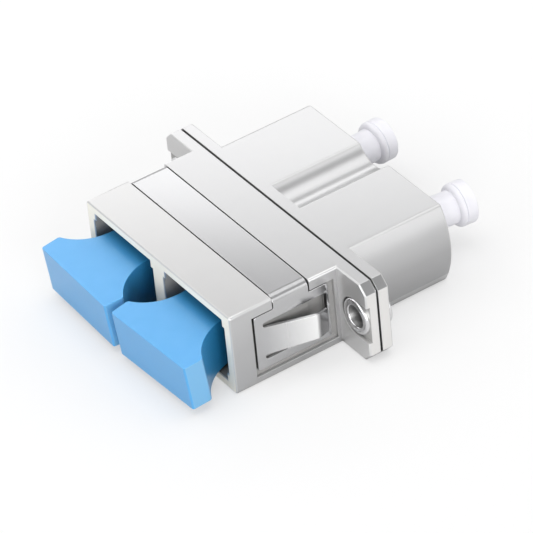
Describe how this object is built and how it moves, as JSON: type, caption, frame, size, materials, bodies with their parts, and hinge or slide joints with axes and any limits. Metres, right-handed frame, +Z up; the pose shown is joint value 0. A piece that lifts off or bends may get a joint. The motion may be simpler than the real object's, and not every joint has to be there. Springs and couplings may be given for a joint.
{
  "type": "duplex hybrid fibre adapter",
  "caption": "Die-cast panel adapter joining large push-pull fibre plugs in front to small latched ones behind, with a spring clip, riveted flange and pull-off dust caps.",
  "frame": {"origin": "midway between the two flange holes, on the flange face that seats on the panel", "axes": "+X across the ports, +Y along the fibres from the large ports to the small ones, +Z up"},
  "size_m": [0.0356, 0.0393, 0.0094],
  "materials": {
    "cast_metal": "satin nickel over die-cast zinc",
    "spring_steel": "smooth rolled strip",
    "rivet_metal": "polished",
    "carrier_plastic": "matt moulded",
    "ceramic": "ground zirconia",
    "blue_plastic": "soft satin moulded",
    "white_plastic": "soft translucent moulded"
  },
  "bodies": {
    "housing": {"front_housing": "cast_metal", "rear_housing": "cast_metal", "panel_clip": "spring_steel", "rivet_left": "rivet_metal", "rivet_right": "rivet_metal", "latch_carrier_left": "carrier_plastic", "latch_carrier_right": "carrier_plastic", "sleeve_holder_left": "carrier_plastic", "sleeve_holder_right": "carrier_plastic", "alignment_sleeve_left": "ceramic", "alignment_sleeve_right": "ceramic"},
    "front_cap_left": {"front_dust_cap_left": "blue_plastic"},
    "front_cap_right": {"front_dust_cap_right": "blue_plastic"},
    "rear_cap_left": {"rear_dust_cap_left": "white_plastic"},
    "rear_cap_right": {"rear_dust_cap_right": "white_plastic"}
  },
  "joints": [
    {"name": "front_cap_left_pull", "type": "slide", "parent": "housing", "child": "front_cap_left", "axis": [0, -1, 0], "range_m": [0, 0.009]},
    {"name": "front_cap_right_pull", "type": "slide", "parent": "housing", "child": "front_cap_right", "axis": [0, -1, 0], "range_m": [0, 0.009]},
    {"name": "rear_cap_left_pull", "type": "slide", "parent": "housing", "child": "rear_cap_left", "axis": [0, 1, 0], "range_m": [0, 0.0085]},
    {"name": "rear_cap_right_pull", "type": "slide", "parent": "housing", "child": "rear_cap_right", "axis": [0, 1, 0], "range_m": [0, 0.0085]}
  ]
}
